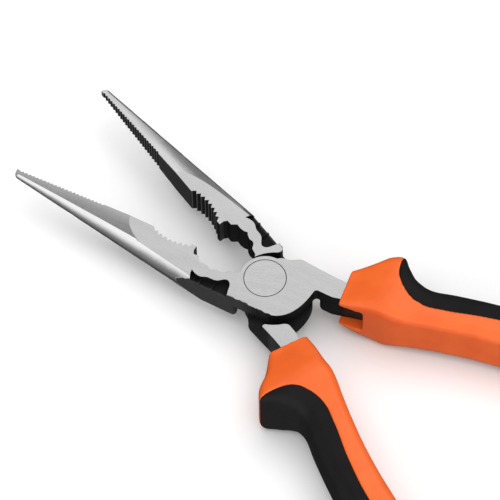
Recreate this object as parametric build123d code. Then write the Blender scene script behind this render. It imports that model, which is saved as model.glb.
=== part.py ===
from build123d import *
from math import cos, radians, sin

# Long nose pliers. Closed frame of one half: X from the pivot to the tip along the closing
# line, +Y toward the jaw's outer side, Z through the thickness, joint back face at Z = 0.
# Placed frame: X is the bisector of the open jaws, Z the pivot axis. All in mm.

# Steel
thickness = 9.5
mid = thickness / 2
lap_gap = 0.05
jaw_gap = 0.05
opening = 25.3
jaw_length = 81.3

# Joint
small_radius = 7.2
rivet_radius = 6.0
rivet_shaft = 4.0
rivet_sink = 2.2
rivet_rim = 0.12
running_clearance = 0.03

# Edge of each half's disc away from the jaw; the rear one is the larger
front_disc = [(-6.4, 10.0), (-10.9, 7.4), (-13.2, 2.9), (-14.1, -2.5)]
rear_disc = [(-7.8, 10.0), (-12.2, 7.4), (-14.4, 3.0), (-15.3, -2.3)]

# Serrations
fine_start = 52.2
fine_end = 80.4
fine_count = 23
fine_height = 0.42
coarse_start = 23.3
coarse_end = 35.8
coarse_count = 8
coarse_height = 0.95
coarse_hollow = 1.35

# Nose
nose_start = 14.0
nose_radius = 11.26
tip_start_radius = 2.13
front_crown_radius = 35.0
rear_crown_radius = 17.0
crown_start = 43.5
crown_taper = 5.5
tip_length = 1.1

# Recess beside the joint
recess_depth = 1.9
ridge_depth = 1.2
ridge_width = 0.5
ridges = [12.0, 16.1]

# Jaw, shank and tang
jaw_outer = 10.0
shank_inner = -3.5
shank_outer = -9.6
shank_bend = -19.5
shank_inner_end = -5.8
tang_end = -108.0

# Grip
core_half_height = 5.6
slot_end = -29.5
front_guard = 0.0
rear_guard = 1.8
guard_peak = -33.0
guard_reach = 7.0

# Grip stations along X: inner side, outer side, half height, inner bevel, outer bevel
grip_stations = [
    (-18.5, -2.2, -11.6, 5.5, 0.6, 0.9),
    (-22.2, -1.9, -15.2, 6.2, 1.0, 1.2),
    (-25.9, -2.1, -18.8, 7.6, 1.3, 1.6),
    (-29.2, -2.6, -22.2, 8.8, 1.6, 2.0),
    (-32.2, -3.0, -23.2, 9.7, 2.0, 2.2),
    (-35.2, -3.1, -20.6, 10.1, 2.3, 2.4),
    (-38.7, -3.7, -18.6, 9.2, 2.2, 2.6),
    (-42.5, -4.9, -18.1, 8.5, 2.0, 2.6),
    (-50.4, -7.3, -20.2, 8.2, 1.8, 2.6),
    (-60.0, -9.8, -22.6, 8.2, 1.8, 2.6),
    (-72.0, -12.0, -25.0, 8.3, 1.9, 2.8),
    (-86.0, -13.4, -26.4, 8.3, 2.0, 2.8),
    (-100.0, -13.3, -26.2, 8.0, 2.0, 2.8),
    (-113.0, -12.0, -24.6, 7.4, 2.0, 2.8),
    (-121.0, -11.4, -22.8, 6.6, 2.4, 3.0),
    (-125.0, -12.6, -20.8, 4.8, 2.2, 2.6),
    (-126.2, -14.4, -19.0, 2.6, 1.2, 1.2),
]


def serrations(start, end, count, height, crest):
    """Zigzag from start to end along the closing face; crest gives the crest line."""
    pitch = (end - start) / count
    points = []
    for i in range(count):
        valley = start + (i + 0.5) * pitch
        points.append((valley, crest(valley) + height))
        points.append((start + (i + 1) * pitch, crest(start + (i + 1) * pitch)))
    return points


def flat_crest(x):
    return jaw_gap


def hollow_crest(x):
    middle = (coarse_start + coarse_end) / 2
    half = (coarse_end - coarse_start) / 2
    return jaw_gap + coarse_hollow * (1 - ((x - middle) / half) ** 2)


def pipe_grip_edge():
    """Scalloped pocket between the joint and the coarse teeth."""
    return [
        (8.0, 2.4),
        (10.0, 2.8),
        (11.0, 4.0),
        (11.8, 4.3),
        (13.0, 4.0),
        (14.3, 4.4),
        (15.1, 4.9),
        (16.1, 4.3),
        (17.5, 4.0),
        (18.9, 4.1),
        (20.0, 2.6),
        (21.6, 2.6),
        (22.1, 1.5),
        (22.0, jaw_gap),
        (coarse_start, jaw_gap),
    ]


def closing_edge():
    points = [(7.05, 1.5)] + pipe_grip_edge()
    points += serrations(coarse_start, coarse_end, coarse_count, coarse_height, hollow_crest)
    points += [(fine_start, jaw_gap)]
    points += serrations(fine_start, fine_end, fine_count, fine_height, flat_crest)
    points += [(jaw_length + 1, jaw_gap)]
    return Polyline(*points)


def head_outline(disc_points):
    """Joint disc, jaw and the start of the shank, as one flat face."""
    r = small_radius
    jaw = Polyline((jaw_length + 1, jaw_gap), (jaw_length + 1, jaw_outer), disc_points[0])
    disc = Spline(*disc_points)
    last_x, last_y = disc_points[-1]
    corner = ThreePointArc((last_x, last_y), (last_x - 0.3, shank_inner + 0.3), (last_x - 1, shank_inner))
    shank = Polyline(
        (last_x - 1, shank_inner),
        (shank_bend, shank_inner),
        (-28.0, shank_inner_end),
        (-28.0, shank_outer),
        (-17.0, shank_outer),
        (-10.4, -10.0),
        (-7.3, -10.2),
    )
    shoulder = Spline((-7.3, -10.2), (-5.2, -9.7), (-3.7, -8.7), (-1.4, -8.1), (0.0, -r))
    under = ThreePointArc((0.0, -r), (r * cos(radians(-39)), r * sin(radians(-39))), (7.05, 1.5))
    return make_face(closing_edge() + jaw + disc + corner + shank + shoulder + under)


def tang_outline():
    """Hidden bar inside the grip, bending away from the closing line."""
    outer = Spline(
        (-27.0, shank_outer),
        (-42.0, -11.6),
        (-58.0, -15.9),
        (-82.0, -19.8),
        (tang_end, -20.0),
        tangents=[(-1, 0), (-1, 0)],
    )
    end = Line((tang_end, -20.0), (tang_end, -15.6))
    inner = Spline(
        (tang_end, -15.6),
        (-82.0, -15.2),
        (-58.0, -11.0),
        (-42.0, -7.4),
        (-28.0, shank_inner_end),
    )
    start = Polyline((-28.0, shank_inner_end), (-27.0, shank_inner_end), (-27.0, shank_outer))
    return make_face(outer + end + inner + start)


def lap_region():
    """Area the other half's disc turns in, between the jaw and shank shoulders."""
    jaw = ThreePointArc((7.5, 0.0), (6.9, 3.9), (4.7, 7.8))
    jaw_corner = Spline((4.7, 7.8), (4.5, 9.2), (5.3, jaw_outer + 0.1))
    top = Polyline((5.3, jaw_outer + 0.1), (5.3, 12.0), (-17.0, 12.0), (-17.0, shank_inner + 0.1))
    inner_corner = Spline((-17.0, shank_inner + 0.1), (-15.8, -3.8), (-14.9, -5.0))
    shank = ThreePointArc((-14.9, -5.0), (-13.8, -6.9), (-12.2, -8.7))
    outer_corner = Spline((-12.2, -8.7), (-12.0, -9.5), (-12.7, -10.2))
    bottom = Polyline((-12.7, -10.2), (-12.7, -12.0), (7.5, -12.0), (7.5, 0.0))
    return make_face(jaw + jaw_corner + top + inner_corner + shank + outer_corner + bottom)


def recess_region():
    """Scalloped relief forged into the jaw's outer edge."""
    scallops = Spline(
        (6.9, 9.5),
        (7.4, 7.6),
        (8.05, 6.1),
        (8.9, 5.6),
        (9.95, 5.9),
        (11.4, 7.05),
        (13.06, 7.4),
        (14.65, 7.5),
        (16.0, 8.1),
        (18.06, 8.0),
        (19.5, 7.25),
    )
    end = Spline((19.5, 7.25), (19.4, 8.2), (18.9, 9.6))
    outside = Polyline((18.9, 9.6), (18.9, 12.0), (6.9, 12.0), (6.9, 9.5))
    return make_face(scallops + end + outside)


def recess(depth):
    """Relief sunk from Z = 0, with low ridges left across its floor."""
    deep = extrude(recess_region(), depth)
    for x in ridges:
        deep -= Pos(x, jaw_outer, depth) * Box(ridge_width, 12, 2 * (depth - ridge_depth))
    return deep


def nose_envelope():
    """Round outer side, a cone about the closing line with a rounded tip."""
    shoulder = jaw_length - tip_length
    cone = Line((nose_start, nose_radius), (shoulder, tip_start_radius))
    tip = ThreePointArc((shoulder, tip_start_radius), (jaw_length - 0.3, 1.75), (jaw_length, 0.95))
    base = Polyline((jaw_length, 0.95), (jaw_length, 0.0), (nose_start, 0.0), (nose_start, nose_radius))
    body = revolve(make_face(cone + tip + base), Axis.X)
    return Pos(0, 0, mid) * body


def nose_crown(side, radius):
    """Large cylinder whose top line falls from the flat face toward the tip."""
    slope = radians(crown_taper)
    along = Vector(cos(slope), 0, -side * sin(slope))
    down = Vector(-sin(slope), 0, -side * cos(slope))
    start = Vector(crown_start, 0, mid + side * mid)
    return Plane(origin=start + down * radius, z_dir=along) * Cylinder(radius, 120)


def rivet_body(clearance):
    """Flush rivet, countersunk at both faces."""
    head = rivet_radius + clearance
    shaft = rivet_shaft + clearance
    profile = Polyline(
        (0, 0),
        (head - rivet_rim, 0),
        (head, rivet_rim),
        (shaft, rivet_sink),
        (shaft, thickness - rivet_sink),
        (head, thickness - rivet_rim),
        (head - rivet_rim, thickness),
        (0, thickness),
        (0, 0),
    )
    return revolve(Plane.XZ * make_face(profile), Axis.Z)


def rivet_hole(clearance):
    """Rivet's shape with its rims opened out by a small bevel."""
    rim = rivet_radius + clearance + rivet_rim
    lower = Cone(rim, rivet_radius + clearance, 2 * rivet_rim, align=(Align.CENTER, Align.CENTER, Align.MIN))
    upper = Pos(0, 0, thickness) * Rot(180, 0, 0) * lower
    return rivet_body(clearance) + lower + upper


def steel_half(clearance, disc_points, crown_radius, recess_solid):
    """One forging in its closed frame, joint disc in the upper half of the thickness."""
    blank = extrude(head_outline(disc_points), thickness)
    split = Pos(nose_start, 0, mid) * Box(80, 60, 60, align=(Align.MIN, Align.CENTER, Align.CENTER))
    nose = blank & split & nose_envelope() & nose_crown(1, crown_radius) & nose_crown(-1, crown_radius)
    body = (blank - split) + nose + extrude(tang_outline(), thickness)
    body -= extrude(lap_region(), mid + lap_gap / 2)
    return body - recess_solid - rivet_hole(clearance)


def grip_section(station, guard):
    """Eight-sided section; guard is how much further out the thumb guard stands at its peak."""
    x, inner, outer, height, inner_bevel, outer_bevel = station
    outer -= guard * max(0, 1 - ((x - guard_peak) / guard_reach) ** 2)
    corners = [
        (inner, height - inner_bevel),
        (inner - inner_bevel, height),
        (outer + outer_bevel, height),
        (outer, height - outer_bevel),
    ]
    ring = corners + [(y, -z) for y, z in reversed(corners)]
    plane = Plane(origin=(x, 0, mid), x_dir=(0, 1, 0), z_dir=(1, 0, 0))
    return plane * make_face(Polyline(*ring, close=True))


def grip_body(guard):
    """Whole handle, both colours, with the slanted front end."""
    body = loft([grip_section(s, guard) for s in grip_stations])
    front = Plane(origin=(-21.4, -7.7, mid), x_dir=(0.151, -0.988, 0), z_dir=(0.988, 0.151, 0))
    return body - front * Pos(0, 0, 10) * Box(60, 60, 20)


def insert_outline():
    """Soft insert's side of the handle in plan."""
    inner = Spline(
        (-31.9, -23.6),
        (-33.9, -16.3),
        (-37.8, -12.9),
        (-42.8, -11.5),
        (-49.5, -12.8),
        (-61.0, -16.4),
        (-74.0, -19.3),
        (-90.0, -20.6),
        (-104.0, -20.8),
        (-112.0, -25.4),
    )
    outer = Polyline((-112.0, -25.4), (-112.0, -32.0), (-31.9, -32.0), (-31.9, -23.6))
    return make_face(inner + outer)


def insert_core():
    """Ridge of the hard shell that the insert wraps round."""
    top = Spline((-37.0, -15.6), (-43.0, -15.2), (-60.0, -19.6), (-86.0, -23.4), (-106.0, -22.6))
    bottom = Polyline((-106.0, -22.6), (-106.0, -6.0), (-37.0, -6.0), (-37.0, -15.6))
    ridge = extrude(make_face(top + bottom), 2 * core_half_height)
    return Pos(0, 0, mid - core_half_height) * ridge


def grip_insert(body):
    region = Pos(0, 0, mid - 20) * extrude(insert_outline(), 40)
    return (body & region) - insert_core()


def grip_shell(body, insert):
    """Hard shell: handle less the insert, the steel and the slot over the shank's side."""
    lowest = (Align.MIN, Align.MIN, Align.CENTER)
    slot = Pos(slot_end, shank_outer, mid) * Box(12, 12, thickness, align=lowest)
    tang = extrude(tang_outline(), thickness)
    return body - insert - tang - slot


def place_front(shape):
    return Rot(0, 0, opening / 2) * shape


def place_rear(shape):
    turned = Pos(0, 0, thickness) * Rot(180, 0, 0) * shape
    return Rot(0, 0, -opening / 2) * turned


front_body = grip_body(front_guard)
rear_body = grip_body(rear_guard)
front_insert = grip_insert(front_body)
rear_insert = grip_insert(rear_body)
back_recess = recess(recess_depth)
face_recess = mirror(back_recess, Plane.XY.offset(mid))
front = steel_half(0.0, front_disc, front_crown_radius, face_recess)
rear = steel_half(running_clearance, rear_disc, rear_crown_radius, back_recess)
nodes = {
    "front_half": place_front(front),
    "pivot_rivet": rivet_body(0.0),
    "front_grip_shell": place_front(grip_shell(front_body, front_insert)),
    "front_grip_insert": place_front(front_insert),
    "rear_half": place_rear(rear),
    "rear_grip_shell": place_rear(grip_shell(rear_body, rear_insert)),
    "rear_grip_insert": place_rear(rear_insert),
}

for name, shape in nodes.items():
    export_step(shape, "parts/" + name + ".step")
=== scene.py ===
"""Needle nose pliers: looks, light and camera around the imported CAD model. Metres, the CAD's own frame."""

from math import cos, pi, radians, sin

import bmesh
import bpy
from mathutils import Matrix, Vector


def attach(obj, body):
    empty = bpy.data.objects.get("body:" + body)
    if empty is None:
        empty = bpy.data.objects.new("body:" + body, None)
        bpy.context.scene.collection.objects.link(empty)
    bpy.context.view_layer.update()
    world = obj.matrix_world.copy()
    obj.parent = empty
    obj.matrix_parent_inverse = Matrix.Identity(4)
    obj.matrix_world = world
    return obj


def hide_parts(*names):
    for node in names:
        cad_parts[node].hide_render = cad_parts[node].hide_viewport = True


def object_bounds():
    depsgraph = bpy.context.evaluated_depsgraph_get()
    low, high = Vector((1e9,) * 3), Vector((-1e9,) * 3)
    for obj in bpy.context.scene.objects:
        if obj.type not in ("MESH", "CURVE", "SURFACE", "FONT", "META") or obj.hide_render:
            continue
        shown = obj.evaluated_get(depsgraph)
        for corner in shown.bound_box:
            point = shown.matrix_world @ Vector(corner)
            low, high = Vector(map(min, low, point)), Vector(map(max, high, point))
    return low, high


MM = 0.001
HALF_OPENING = radians(12.65)   # each half is turned this far from the closed tool
MIDDLE = 4.75                   # mm, height of the tool's middle plane
THICKNESS = 9.5                 # mm, steel
CROWN_TAPER = radians(5.5)      # how far the nose's faces lean toward its tip
CROWN_START = 43.5              # mm along, where those faces would meet the flat ones on the closing line
CROWN_RADIUS = {"front": 35, "rear": 17}    # mm, of those faces across the nose
CONE_SLOPE = 0.138              # how fast the nose's outside narrows toward the tip
CONE_RADIUS = 13.2              # mm, the radius of that cone carried on to the pivot
LEFT = (0.745, 0.667, 0)        # beyond the tips
NEAR = (-0.667, 0.745, 0)       # on the side of the front half's jaw

# Grip sections along a closed tool's half, mm: x, inner side y, outer side y, half height,
# inner edge radius, outer edge radius.
GRIP_STATIONS = [
    (-18.5, -2.2, -11.6, 5.5, 0.9, 1.2),
    (-22.2, -1.9, -15.2, 6.2, 1.5, 1.8),
    (-25.9, -2.1, -18.8, 7.6, 2.0, 2.4),
    (-29.2, -2.6, -22.2, 8.8, 2.4, 3.0),
    (-32.2, -3.0, -23.2, 9.7, 2.9, 3.2),
    (-35.2, -3.1, -20.6, 10.1, 3.2, 3.5),
    (-38.7, -3.7, -18.6, 9.2, 3.1, 3.8),
    (-42.5, -4.9, -18.1, 8.5, 2.9, 3.8),
    (-50.4, -7.3, -20.2, 8.2, 2.7, 3.8),
    (-60.0, -9.8, -22.6, 8.2, 2.7, 3.8),
    (-72.0, -12.0, -25.0, 8.3, 2.8, 4.0),
    (-86.0, -13.4, -26.4, 8.3, 2.9, 4.0),
    (-100.0, -13.3, -26.2, 8.0, 2.9, 4.0),
    (-113.0, -12.0, -24.6, 7.4, 2.9, 4.0),
    (-119.0, -11.3, -23.3, 6.8, 3.2, 4.0),
    (-123.0, -11.9, -21.9, 5.8, 3.0, 3.6),
    (-125.3, -13.2, -20.2, 4.3, 2.2, 2.6),
    (-126.2, -14.9, -18.5, 2.4, 1.2, 1.2),
]
# Edge of the black insert, seen from above, mm.
INSERT_EDGE = [
    (-30.9, -27.6), (-31.9, -23.6), (-33.9, -16.3), (-37.8, -12.9), (-42.8, -11.5), (-49.5, -12.8),
    (-61.0, -16.4), (-74.0, -19.3), (-90.0, -20.6), (-104.0, -20.8), (-112.0, -25.4), (-116.0, -28.5),
]
GUARD = {"front": 0.0, "rear": 1.8}     # mm, how much further out the thumb guard stands at its peak
SEAM = 0.12       # mm, half the gap between shell and insert
VOXEL = 0.4       # mm, grain of the moulded pieces' meshes


# ---------------------------------------------------------------- camera and top light

def aimed(obj, place, target, roll=0.0):
    """Puts obj at place, looking at target, turned by roll about its own axis."""
    back = (Vector(place) - Vector(target)).normalized()
    right = Vector((0, 0, 1)).cross(back).normalized()
    up = back.cross(right)
    side = right * cos(roll) + up * sin(roll)
    top = up * cos(roll) - right * sin(roll)
    turn = Matrix((side, top, back)).transposed().to_4x4()
    obj.matrix_world = Matrix.Translation(place) @ turn


def make_camera():
    camera = bpy.data.objects.new("camera", bpy.data.cameras.new("camera"))
    camera.data.lens = 251.17
    camera.data.clip_end = 20
    aimed(camera, (-0.33304, 0.37249, 0.85371), (0.00928, -0.00412, 0.0095), radians(-1.013))
    bpy.context.scene.collection.objects.link(camera)
    bpy.context.scene.camera = camera


def make_top_light():
    """A large soft light overhead, left out of the gloss, which shows the studio round the tool."""
    light = bpy.data.lights.new("top_light", "AREA")
    light.shape = "RECTANGLE"
    light.size, light.size_y = 2.6, 2.6
    light.energy = 34
    obj = bpy.data.objects.new("top_light", light)
    obj.visible_glossy = False
    aimed(obj, (0.05, -0.05, 1.9), (0, 0, 0))
    bpy.context.scene.collection.objects.link(obj)


# ---------------------------------------------------------------- node graphs

class Nodes:
    """A node tree, with a short method for each kind of node used here."""

    def __init__(self, tree):
        self.tree = tree
        self.where = tree.nodes.new("ShaderNodeTexCoord")

    def feed(self, socket, value):
        if isinstance(value, bpy.types.NodeSocket):
            self.tree.links.new(value, socket)
        else:
            socket.default_value = value

    def math(self, operation, a, b=0.0):
        node = self.tree.nodes.new("ShaderNodeMath")
        node.operation = operation
        self.feed(node.inputs[0], a)
        self.feed(node.inputs[1], b)
        return node.outputs[0]

    def step(self, value, start, end, low=0.0, high=1.0):
        """low up to start, high from end, smooth between."""
        node = self.tree.nodes.new("ShaderNodeMapRange")
        node.interpolation_type = "SMOOTHSTEP"
        for index, number in enumerate((value, start, end, low, high)):
            self.feed(node.inputs[index], number)
        return node.outputs["Result"]

    def product(self, *values):
        result = values[0]
        for value in values[1:]:
            result = self.math("MULTIPLY", result, value)
        return result

    def total(self, *values):
        result = values[0]
        for value in values[1:]:
            result = self.math("ADD", result, value)
        return result

    def parts(self, vector):
        node = self.tree.nodes.new("ShaderNodeSeparateXYZ")
        self.feed(node.inputs[0], vector)
        return node.outputs[0], node.outputs[1], node.outputs[2]

    def along(self, vector, direction):
        node = self.tree.nodes.new("ShaderNodeVectorMath")
        node.operation = "DOT_PRODUCT"
        self.feed(node.inputs[0], vector)
        node.inputs[1].default_value = direction
        return node.outputs["Value"]

    def mix(self, factor, low, high):
        node = self.tree.nodes.new("ShaderNodeMix")
        self.feed(node.inputs[0], factor)
        self.feed(node.inputs[2], low)
        self.feed(node.inputs[3], high)
        return node.outputs[0]


class Graph(Nodes):
    """A new material's nodes."""

    def __init__(self, name):
        self.material = bpy.data.materials.new(name)
        self.material.use_nodes = True
        super().__init__(self.material.node_tree)
        self.shader = self.tree.nodes["Principled BSDF"]

    def set(self, **inputs):
        for key, value in inputs.items():
            self.feed(self.shader.inputs[key.replace("_", " ")], value)

    def turned(self, source, turn, flip, lift, scale):
        """source's vector turned about Z by -turn, flipped over if flip, and scaled."""
        node = self.tree.nodes.new("ShaderNodeMapping")
        self.feed(node.inputs["Vector"], self.where.outputs[source])
        node.inputs["Rotation"].default_value = (pi if flip else 0, 0, -turn)
        node.inputs["Location"].default_value = (0, 0, lift if flip else 0)
        node.inputs["Scale"].default_value = (scale, scale, scale)
        return node.outputs[0]

    def place(self, turn=0.0, flip=False):
        """Object coordinates in mm, in a closed tool's half."""
        return self.turned("Object", turn, flip, 2 * MIDDLE, 1 / MM)

    def normal(self, turn=0.0, flip=False):
        return self.turned("Normal", turn, flip, 0, 1)

    def facing(self, x, y, z, turn, flip):
        """World normal from a direction given in a closed tool's half."""
        joined = self.tree.nodes.new("ShaderNodeCombineXYZ")
        for index, number in enumerate((x, y, z)):
            self.feed(joined.inputs[index], number)
        back = self.tree.nodes.new("ShaderNodeMapping")
        back.vector_type = "VECTOR"
        self.feed(back.inputs["Vector"], joined.outputs[0])
        back.inputs["Rotation"].default_value = (pi, 0, -turn) if flip else (0, 0, turn)
        world = self.tree.nodes.new("ShaderNodeVectorTransform")
        world.vector_type = "NORMAL"
        world.convert_from = "OBJECT"
        world.convert_to = "WORLD"
        self.feed(world.inputs[0], back.outputs[0])
        return world.outputs[0]

    def between(self, factor, low, high):
        """Unit vector between two others."""
        node = self.tree.nodes.new("ShaderNodeMix")
        node.data_type = "VECTOR"
        self.feed(node.inputs[0], factor)
        self.feed(node.inputs[4], low)
        self.feed(node.inputs[5], high)
        unit = self.tree.nodes.new("ShaderNodeVectorMath")
        unit.operation = "NORMALIZE"
        self.feed(unit.inputs[0], node.outputs[1])
        return unit.outputs[0]

    def stretched(self, vector, stretch):
        node = self.tree.nodes.new("ShaderNodeVectorMath")
        node.operation = "MULTIPLY"
        self.feed(node.inputs[0], vector)
        node.inputs[1].default_value = stretch
        return node.outputs[0]

    def noise(self, vector, scale, detail=3.0, roughness=0.55):
        node = self.tree.nodes.new("ShaderNodeTexNoise")
        self.feed(node.inputs["Vector"], vector)
        node.inputs["Scale"].default_value = scale
        node.inputs["Detail"].default_value = detail
        node.inputs["Roughness"].default_value = roughness
        return node.outputs["Fac"]

    def colour(self, factor, low, high):
        node = self.tree.nodes.new("ShaderNodeMix")
        node.data_type = "RGBA"
        self.feed(node.inputs[0], factor)
        self.feed(node.inputs[6], low)
        self.feed(node.inputs[7], high)
        return node.outputs[2]

    def bump(self, height, distance, under=None):
        node = self.tree.nodes.new("ShaderNodeBump")
        self.feed(node.inputs["Height"], height)
        node.inputs["Distance"].default_value = distance * MM
        node.inputs["Strength"].default_value = 1.0
        if under is not None:
            self.feed(node.inputs["Normal"], under)
        return node.outputs[0]


def grey(value):
    return (value, value, value, 1)


# ---------------------------------------------------------------- light round the tool

def make_world():
    """A soft studio: a bright ring overhead on the far side, a bright low card on the near side."""
    world = bpy.data.worlds.new("studio")
    world.use_nodes = True
    g = Nodes(world.node_tree)
    direction = g.where.outputs["Generated"]
    _, _, up = g.parts(direction)
    far = g.total(
        g.step(up, 0.52, 0.72, 0.25, 1.40),
        g.step(up, 0.77, 0.87, 0, -0.55),
        g.step(up, 0.88, 0.97, 0, -0.30),
    )
    below = g.step(up, -0.6, -0.1, 0.45, 1.0)
    left = g.step(g.along(direction, LEFT), 0.05, 0.25, 1.0, 0.35)
    low_card = g.math("ADD", g.step(up, -0.75, -0.1, 0.22, 1.45), g.step(up, 0.35, 0.8, 0, -0.9))
    near = g.step(g.along(direction, NEAR), -0.1, 0.2)
    strength = g.mix(near, g.product(far, below, left), low_card)
    g.feed(g.tree.nodes["Background"].inputs["Strength"], strength)
    g.tree.nodes["Background"].inputs["Color"].default_value = (1, 1, 1, 1)
    bpy.context.scene.world = world


def make_studio():
    bpy.context.scene.view_settings.view_transform = "Standard"
    make_world()
    make_top_light()


# ---------------------------------------------------------------- steel

def beyond_cone(g, along, radius):
    """How far a point is outside the nose's cone, mm."""
    return g.total(radius, g.product(along, CONE_SLOPE), -CONE_RADIUS)


def ground_area(g, place, normal):
    """1 where the steel is ground bright: both flat faces and the noses, but not the gripping sides."""
    along, across, height = g.parts(place)
    _, across_normal, up_normal = g.parts(normal)
    off_middle = g.math("ABSOLUTE", g.math("SUBTRACT", height, MIDDLE))
    facing = g.step(g.math("ABSOLUTE", up_normal), 0.80, 0.92)
    ragged = g.math("SUBTRACT", g.noise(place, 0.7, 4, 0.6), 0.5)
    edge = g.math("ADD", across, g.math("MULTIPLY", ragged, 1.2))
    chipped = g.product(g.step(edge, 9.75, 9.9), g.step(along, 14, 20, 1, 0))
    on_face = g.product(facing, g.step(off_middle, 4.45, 4.6), g.math("SUBTRACT", 1, chipped))
    crown = g.product(facing, g.step(along, 22.0, 23.0))
    radius = g.math("SQRT", g.total(g.product(across, across), g.product(off_middle, off_middle)))
    at_cone = g.step(beyond_cone(g, along, radius), -0.34, -0.26)
    forged_side = g.step(g.total(across, g.product(ragged, 0.5)), 9.84, 9.94)
    at_cone = g.product(at_cone, g.math("SUBTRACT", 1, g.product(forged_side, g.step(along, 23.0, 24.0, 1, 0))))
    gripping = g.product(g.step(across_normal, -0.25, -0.12, 1, 0), g.step(facing, 0.0, 0.1, 1, 0))
    nose = g.product(at_cone, g.step(along, 14.2, 15.0), g.math("SUBTRACT", 1, gripping))
    return g.math("MAXIMUM", g.math("MAXIMUM", on_face, crown), nose)


def hollow_and_slot_shade_area(g, place, normal):
    """1 in the gripping sides and the reliefs, where the oxide is darkest, and along the handle's inner side in the
    grip's slot, where it is painted shade.
    """
    along, across, _ = g.parts(place)
    _, across_normal, _ = g.parts(normal)
    toothed = g.math("SUBTRACT", 1, g.product(g.step(along, 35.8, 36.1), g.step(along, 51.9, 52.2, 1, 0)))
    gripping = g.product(g.step(across_normal, -0.2, -0.05, 1, 0), g.step(along, 3.0, 4.0), toothed)
    relief_width = g.product(g.step(across, 9.3, 9.7, 1, 0), g.step(across, 4.8, 5.2))
    relief = g.product(relief_width, g.step(along, 6.0, 6.5), g.step(along, 20.0, 20.5, 1, 0))
    # Painted shade: the handle's inner side, where it runs in the grip's slot, is given the darkest oxide.
    painted_slot_shade = g.product(g.step(along, -8.0, -9.0), g.step(across, -4.6, -4.2))
    return g.math("MAXIMUM", g.math("MAXIMUM", gripping, relief), painted_slot_shade)


def tooth_tips(g, along, across):
    """1 on the tips of the coarse and the fine teeth, which are coloured a lighter grey."""
    off_centre = g.product(g.math("SUBTRACT", along, 29.55), 1 / 6.25)
    hollow = g.product(g.math("SUBTRACT", 1, g.product(off_centre, off_centre)), 1.35)
    crest = g.step(g.math("SUBTRACT", across, hollow), 0.12, 0.34, 1, 0)
    coarse = g.product(crest, g.step(along, 23.2, 23.4), g.step(along, 35.7, 35.9, 1, 0))
    fine = g.product(g.step(across, 0.10, 0.22, 1, 0), g.step(along, 52.0, 52.2))
    return g.math("MAXIMUM", coarse, fine)


def nose_normal(g, place, flip, crown_radius):
    """The nose's own smooth normal: a cone outside, a large sloping cylinder on each face."""
    along, across, height = g.parts(place)
    lift = g.math("SUBTRACT", height, MIDDLE)
    size = g.math("ABSOLUTE", lift)
    radius = g.math("SQRT", g.total(g.product(across, across), g.product(lift, lift)))
    outside = g.facing(g.product(radius, CONE_SLOPE), across, lift, HALF_OPENING, flip)
    bow = g.product(across, 1 / crown_radius)
    rise = g.product(g.math("SQRT", g.math("SUBTRACT", 1, g.product(bow, bow))), cos(CROWN_TAPER))
    crowned = g.facing(sin(CROWN_TAPER), bow, g.product(rise, g.math("SIGN", lift)), HALF_OPENING, flip)
    surface = g.tree.nodes.new("ShaderNodeNewGeometry").outputs["Normal"]

    cone_gap = g.math("ABSOLUTE", beyond_cone(g, along, radius))
    on_nose = g.product(g.step(along, 15.4, 15.8), g.step(along, 80.0, 80.3, 1, 0), g.step(across, 0.3, 0.5))
    below_faces = g.product(g.step(across, 9.93, 9.97, 1, 0), g.step(size, 4.70, 4.74, 1, 0))
    on_cone = g.product(g.step(cone_gap, 0.24, 0.32, 1, 0), below_faces, on_nose)
    slope = g.product(g.math("SUBTRACT", along, CROWN_START), sin(CROWN_TAPER) / cos(CROWN_TAPER))
    crown_height = g.total(MIDDLE, g.product(slope, -1), g.product(across, across, -0.5 / crown_radius))
    crown_gap = g.math("ABSOLUTE", g.math("SUBTRACT", size, crown_height))
    sunk = g.product(g.step(crown_gap, 0.12, 0.20, 1, 0), g.step(crown_height, 4.69, 4.75, 1, 0))
    on_crown = g.product(sunk, g.step(across, -0.1, 0.1), g.step(along, 24, 25))
    return g.between(on_cone, g.between(on_crown, surface, crowned), outside)


def brushed(g, place):
    """Fine grinding lines along the tool, and broader uneven bands."""
    lines = g.noise(g.stretched(place, (0.6, 7.0, 7.0)), 1.0, 4, 0.65)
    bands = g.noise(g.stretched(place, (0.10, 0.5, 0.5)), 1.0, 2, 0.5)
    return lines, bands


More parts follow.
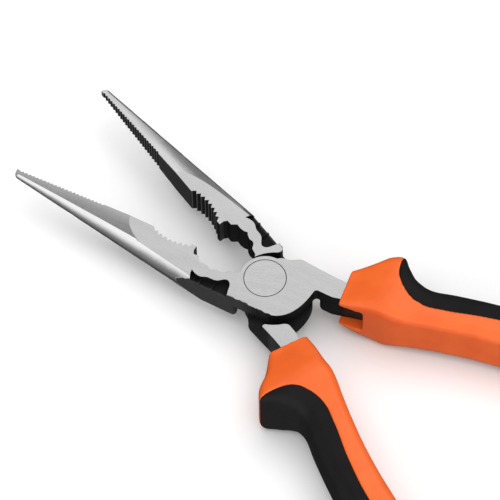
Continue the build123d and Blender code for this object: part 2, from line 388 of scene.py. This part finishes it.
def half_steel(name, flip, crown_radius):
    g = Graph(name)
    place, normal = g.place(HALF_OPENING, flip), g.normal(HALF_OPENING, flip)
    ground, hollow = ground_area(g, place, normal), hollow_and_slot_shade_area(g, place, normal)
    lines, bands = brushed(g, place)
    along, across, _ = g.parts(place)
    smooth_normal = nose_normal(g, place, flip, crown_radius)
    fine = g.noise(place, 3.5, 4, 0.65)
    lumps = g.noise(place, 0.5, 3, 0.5)
    bright = g.colour(g.step(lines, 0.25, 0.75), grey(0.60), grey(0.68))
    specks = g.math("MULTIPLY", g.step(fine, 0.60, 0.74), g.step(lumps, 0.42, 0.6))
    # The forged oxide is a little lighter on the jaws and on the handle's outer side. It is left darker on the handle
    # by the joint and on its inner side in the grip's slot, where it is painted shade.
    wall = g.math("ADD", g.step(along, -3, 4), g.product(g.step(along, -14, -16), g.step(across, -6, -5, 1, 0)))
    tone = g.math("ADD", g.product(wall, 0.022), g.product(lumps, 0.012))
    forged_and_slot_shade = g.colour(specks, g.colour(tone, grey(0.0), grey(1.0)), grey(0.11))
    # The darkest oxide also carries the painted shade in the grip's slot.
    darkest_oxide_and_slot_shade = g.colour(g.product(fine, lumps), grey(0.003), grey(0.018))
    oxide = g.colour(tooth_tips(g, along, across), g.colour(hollow, forged_and_slot_shade, darkest_oxide_and_slot_shade), grey(0.10))
    smooth = g.math("ADD", g.step(bands, 0.3, 0.7, 0.20, 0.27), g.step(lines, 0.3, 0.7, -0.03, 0.04))
    scale = g.step(fine, 0.3, 0.7, 0.42, 0.62)
    g.set(Base_Color=g.colour(ground, oxide, bright), Metallic=ground, Roughness=g.mix(ground, scale, smooth))
    g.set(Specular_IOR_Level=g.mix(hollow, 0.25, 0.10))
    pitted = g.mix(ground, g.math("ADD", fine, g.math("MULTIPLY", lumps, 3)), 0.0)
    rough = g.bump(pitted, 0.06, under=smooth_normal)
    g.set(Normal=g.bump(g.mix(ground, 0.0, lines), 0.004, under=rough))
    return g.material


def rivet_steel():
    g = Graph("rivet_ground")
    lines, bands = brushed(g, g.turned("Object", radians(35), False, 0, 1 / MM))
    _, _, up_normal = g.parts(g.normal())
    face = g.step(g.math("ABSOLUTE", up_normal), 0.80, 0.92)
    bright = g.colour(g.step(lines, 0.25, 0.75), grey(0.57), grey(0.72))
    g.set(Base_Color=g.colour(face, grey(0.01), bright), Metallic=face)
    smooth = g.math("ADD", g.step(bands, 0.3, 0.7, 0.20, 0.27), g.step(lines, 0.3, 0.7, -0.03, 0.04))
    g.set(Roughness=g.mix(face, 0.5, smooth), Normal=g.bump(lines, 0.006))
    return g.material


def round_edges(obj, width):
    """Joins the CAD triangles' corners and rounds the hard edges a little, as modifiers on the CAD node."""
    weld = obj.modifiers.new("weld", "WELD")
    weld.merge_threshold = 1e-6
    flat = obj.modifiers.new("flat", "DECIMATE")
    flat.decimate_type = "DISSOLVE"
    flat.angle_limit = radians(0.4)
    bevel = obj.modifiers.new("bevel", "BEVEL")
    bevel.width = width
    bevel.segments = 2
    bevel.limit_method = "ANGLE"
    bevel.angle_limit = radians(32)
    weighted = obj.modifiers.new("normals", "WEIGHTED_NORMAL")
    weighted.keep_sharp = True


# ---------------------------------------------------------------- grips, in mm on a closed tool's half

def slopes(xs, ys):
    """Slopes at the knots that keep a cubic from overshooting."""
    runs = [(b - a) for a, b in zip(xs, xs[1:])]
    rises = [(b - a) / run for a, b, run in zip(ys, ys[1:], runs)]
    inner = []
    for r0, r1, before, after in zip(runs, runs[1:], rises, rises[1:]):
        if before * after <= 0:
            inner.append(0.0)
        else:
            w0, w1 = 2 * r1 + r0, r1 + 2 * r0
            inner.append((w0 + w1) / (w0 / before + w1 / after))
    return [rises[0]] + inner + [rises[-1]]


def smooth_between(xs, ys, x):
    """A monotone cubic through the knots."""
    at = max(i for i in range(len(xs) - 1) if xs[i] <= x or i == 0)
    m = slopes(xs, ys)
    run = xs[at + 1] - xs[at]
    t = min(max((x - xs[at]) / run, 0), 1)
    return (
        ys[at] * (1 + 2 * t) * (1 - t) ** 2
        + run * m[at] * t * (1 - t) ** 2
        + ys[at + 1] * t * t * (3 - 2 * t)
        + run * m[at + 1] * t * t * (t - 1)
    )


def arc(centre, radius, start, end, steps):
    angles = [radians(start + (end - start) * i / steps) for i in range(steps + 1)]
    return [(centre[0] + radius * cos(a), centre[1] + radius * sin(a)) for a in angles]


def grip_section(inner, outer, half, inner_round, outer_round):
    """One closed section, (y, height over the middle plane), with round edges."""
    top = arc((inner - inner_round, half - inner_round), inner_round, 0, 90, 7)
    top += [(inner - inner_round + (outer + outer_round - inner + inner_round) * i / 12, half) for i in range(1, 12)]
    top += arc((outer + outer_round, half - outer_round), outer_round, 90, 180, 8)
    wall = [(outer, (half - outer_round) * (1 - i / 4)) for i in range(1, 8)]
    bottom = [(y, -z) for y, z in reversed(top)]
    front = [(inner, -(half - inner_round) * (1 - i / 4)) for i in range(1, 8)]
    return top + wall + bottom + front


def mesh_object(name, points, faces):
    mesh = bpy.data.meshes.new(name)
    mesh.from_pydata(points, [], faces)
    obj = bpy.data.objects.new(name, mesh)
    bpy.context.scene.collection.objects.link(obj)
    return obj


def tube(name, rings):
    """A closed mesh through rings of points, with its two ends filled."""
    n = len(rings[0])
    points = [p for ring in rings for p in ring]
    faces = []
    for i in range(len(rings) - 1):
        for j in range(n):
            k = (j + 1) % n
            faces.append((i * n + j, i * n + k, (i + 1) * n + k, (i + 1) * n + j))
    faces.append(tuple(reversed(range(n))))
    faces.append(tuple(range((len(rings) - 1) * n, len(rings) * n)))
    obj = mesh_object(name, points, faces)
    bm = bmesh.new()
    bm.from_mesh(obj.data)
    bmesh.ops.recalc_face_normals(bm, faces=bm.faces)
    bm.to_mesh(obj.data)
    bm.free()
    return obj


def prism(name, outline, bottom, top):
    return tube(name, [[(x, y, z) for x, y in outline] for z in (bottom, top)])


def grip_body(guard):
    rows = sorted(GRIP_STATIONS)
    xs = [row[0] for row in rows]
    columns = [[row[c] for row in rows] for c in range(1, 6)]
    count = 150
    rings = []
    for i in range(count + 1):
        x = xs[0] + (xs[-1] - xs[0]) * i / count
        inner, outer, *shape = [smooth_between(xs, ys, x) for ys in columns]
        outer -= guard * max(0, 1 - ((x + 33) / 7) ** 2)
        section = grip_section(inner, outer, *shape)
        rings.append([(x, y, MIDDLE + z) for y, z in section])
    return tube("grip_body", rings)


def insert_outline(gap):
    """The insert's outline from above; its inner edge is a smooth curve, moved outwards by gap."""
    curve = bpy.data.curves.new("edge", "CURVE")
    curve.dimensions = "3D"
    curve.resolution_u = 10
    spline = curve.splines.new("BEZIER")
    spline.bezier_points.add(len(INSERT_EDGE) - 1)
    for point, (x, y) in zip(spline.bezier_points, INSERT_EDGE):
        point.co = (x, y, 0)
        point.handle_left_type = "AUTO"
        point.handle_right_type = "AUTO"
    holder = bpy.data.objects.new("edge", curve)
    bpy.context.scene.collection.objects.link(holder)
    mesh = bpy.data.meshes.new_from_object(holder.evaluated_get(bpy.context.evaluated_depsgraph_get()))
    line = [v.co.copy() for v in mesh.vertices]
    bpy.data.objects.remove(holder)
    moved = []
    for i, p in enumerate(line):
        ahead = line[min(i + 1, len(line) - 1)] - line[max(i - 1, 0)]
        side = Vector((-ahead.y, ahead.x, 0)).normalized()
        moved.append(p + side * gap)
    return [(p.x, p.y) for p in moved] + [(-116, -45), (-28, -45)]


def carved(name, base, cuts, keep=None):
    """base with the cuts taken away, or only what it shares with keep, remeshed with soft edges."""
    obj = base.copy()
    obj.data = base.data.copy()
    obj.name = name
    bpy.context.scene.collection.objects.link(obj)
    for cutter, operation in [(c, "DIFFERENCE") for c in cuts] + ([(keep, "INTERSECT")] if keep else []):
        boolean = obj.modifiers.new("cut", "BOOLEAN")
        boolean.operation = operation
        boolean.object = cutter
        boolean.solver = "EXACT"
    remesh = obj.modifiers.new("remesh", "REMESH")
    remesh.mode = "VOXEL"
    remesh.voxel_size = VOXEL
    remesh.use_smooth_shade = True
    smooth = obj.modifiers.new("smooth", "SMOOTH")
    smooth.factor = 0.5
    smooth.iterations = 4
    mesh = bpy.data.meshes.new_from_object(obj.evaluated_get(bpy.context.evaluated_depsgraph_get()))
    bpy.data.objects.remove(obj)
    mesh.name = name
    return mesh


def front_cutter():
    """Everything forward of the grip's front end, which leans a little."""
    corner, lean = Vector((-21.4, -7.7)), Vector((0.151, -0.988))
    ahead = Vector((0.988, 0.151))
    a, b = corner + lean * 30, corner - lean * 30
    outline = [a, b, b + ahead * 30, a + ahead * 30]
    return prism("front_cutter", [(p.x, p.y) for p in outline], MIDDLE - 15, MIDDLE + 15)


def steel_cutter():
    """The space of the steel handle where it goes into the grip."""
    inner_side = [(-10, -3.4), (-19.5, -3.4), (-28, -5.7), (-42, -7.3), (-48, -8.4)]
    outer_side = [(-48, -13.2), (-42, -11.7), (-27, -9.7), (-10, -9.7)]
    return prism("steel_cutter", inner_side + outer_side, -0.02, THICKNESS + 0.02)


def slot_cutter():
    """The slot in the inner wall, open at the front, with a round back corner."""
    x0, r = -29.5, 0.8
    profile = [(-10, THICKNESS)] + arc((x0 + r, THICKNESS - r), r, 90, 180, 6)
    profile += arc((x0 + r, r), r, 180, 270, 6) + [(-10, 0)]
    return tube("slot_cutter", [[(x, y, z) for x, z in profile] for y in (-6.5, 3.0)])


def grip_meshes(guard):
    body = grip_body(guard)
    inside = prism("insert_in", insert_outline(-SEAM), -20, 30)
    outside = prism("insert_out", insert_outline(SEAM), -20, 30)
    front, steel, slot = front_cutter(), steel_cutter(), slot_cutter()
    shell = carved("grip_shell", body, [front, steel, slot, outside])
    insert = carved("grip_insert", body, [steel], keep=inside)
    for obj in (body, inside, outside, front, steel, slot):
        bpy.data.objects.remove(obj)
    return shell, insert


def placement(rear):
    """From a closed tool's half in mm to the open tool in metres."""
    flip = Matrix.Translation((0, 0, 2 * MIDDLE)) @ Matrix.Rotation(pi, 4, "X") if rear else Matrix()
    turn = Matrix.Rotation(-HALF_OPENING if rear else HALF_OPENING, 4, "Z")
    return Matrix.Scale(MM, 4) @ turn @ flip


def shell_plastic():
    g = Graph("shell_plastic")
    place = g.place()
    grain = g.noise(place, 5.0, 3, 0.6)
    cloud = g.noise(place, 0.12, 2, 0.5)
    tone = g.step(g.total(g.product(cloud, 0.75), g.product(grain, 0.25)), 0.3, 0.7)
    g.set(Base_Color=g.colour(tone, (0.77, 0.115, 0.016, 1), (0.83, 0.139, 0.022, 1)))
    g.set(Roughness=g.step(grain, 0.3, 0.7, 0.27, 0.36), Specular_IOR_Level=0.45)
    g.set(Normal=g.bump(grain, 0.010))
    return g.material


def insert_rubber():
    g = Graph("insert_rubber")
    place = g.place()
    grain = g.noise(place, 3.0, 4, 0.7)
    cloud = g.noise(place, 0.2, 2, 0.5)
    g.set(Base_Color=g.colour(g.math("MULTIPLY", grain, cloud), (0.004, 0.0035, 0.0035, 1), (0.014, 0.012, 0.012, 1)))
    g.set(Roughness=g.step(grain, 0.3, 0.7, 0.50, 0.68), Specular_IOR_Level=0.2)
    g.set(Normal=g.bump(grain, 0.05))
    return g.material


def make_grips():
    plastic, rubber = shell_plastic(), insert_rubber()
    for body, rear in (("front", False), ("rear", True)):
        shell, insert = grip_meshes(GUARD[body])
        for kind, mesh, material, slot in (
            ("shell", shell, plastic, "orange_shell"),
            ("insert", insert, rubber, "black_insert"),
        ):
            mesh.transform(placement(rear))
            mesh.materials.append(material)
            piece = bpy.data.objects.new(f"{body}_{kind}_look", mesh)
            bpy.context.scene.collection.objects.link(piece)
            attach(piece, body)
            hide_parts(f"{body}_grip_{kind}")


def make_steel(nodes):
    for name, material in (
        ("front_half", half_steel("front_steel", False, CROWN_RADIUS["front"])),
        ("rear_half", half_steel("rear_steel", True, CROWN_RADIUS["rear"])),
        ("pivot_rivet", rivet_steel()),
    ):
        nodes[name].data.materials[0] = material
    for name in ("front_half", "rear_half"):
        round_edges(nodes[name], 0.15 * MM)


def make_floor(height):
    """Pale paper under the tool, left out of its gloss and its bounced light."""
    g = Graph("floor_paper")
    place = g.place()
    g.set(Base_Color=g.colour(g.noise(place, 0.05), grey(0.90), grey(0.93)), Roughness=0.8)
    floor = mesh_object("floor", [(-3, -3, 0), (3, -3, 0), (3, 3, 0), (-3, 3, 0)], [(0, 1, 2, 3)])
    floor.location.z = height
    floor.data.materials.append(g.material)
    floor.visible_glossy = False
    floor.visible_diffuse = False


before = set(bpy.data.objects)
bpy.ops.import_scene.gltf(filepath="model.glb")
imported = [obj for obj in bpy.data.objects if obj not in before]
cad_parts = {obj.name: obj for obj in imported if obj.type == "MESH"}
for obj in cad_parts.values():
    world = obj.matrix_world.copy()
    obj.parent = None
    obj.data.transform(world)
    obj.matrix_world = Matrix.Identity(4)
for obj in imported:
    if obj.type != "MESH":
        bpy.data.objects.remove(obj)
cad_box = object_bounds()
make_camera()
make_studio()
make_steel(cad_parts)
make_grips()
make_floor(cad_box[0][2])
